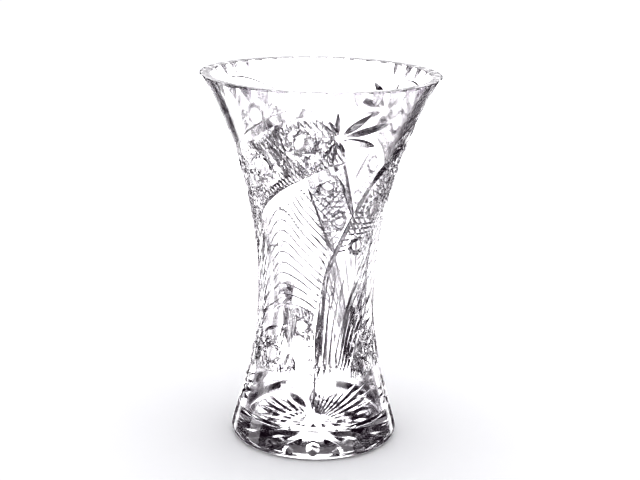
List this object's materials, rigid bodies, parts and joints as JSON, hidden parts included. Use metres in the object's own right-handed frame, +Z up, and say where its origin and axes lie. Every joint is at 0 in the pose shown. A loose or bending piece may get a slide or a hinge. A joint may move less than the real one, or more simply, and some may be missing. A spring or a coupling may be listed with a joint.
{
  "type": "cut crystal vase",
  "caption": "Tall flared vase of heavy clear cut crystal, waisted above a spreading foot, with a fluted lip and wheel-cut stars, fans and sweeping bands.",
  "frame": {"origin": "centre of the face the vase stands on", "axes": "+Z up along the vase's axis of revolution; -Y to the front, where one of its three repeats of the cut motif faces"},
  "size_m": [0.1584, 0.1584, 0.25],
  "materials": {
    "crystal": "polished"
  },
  "bodies": {
    "root": {"vase": "crystal"}
  },
  "joints": []
}
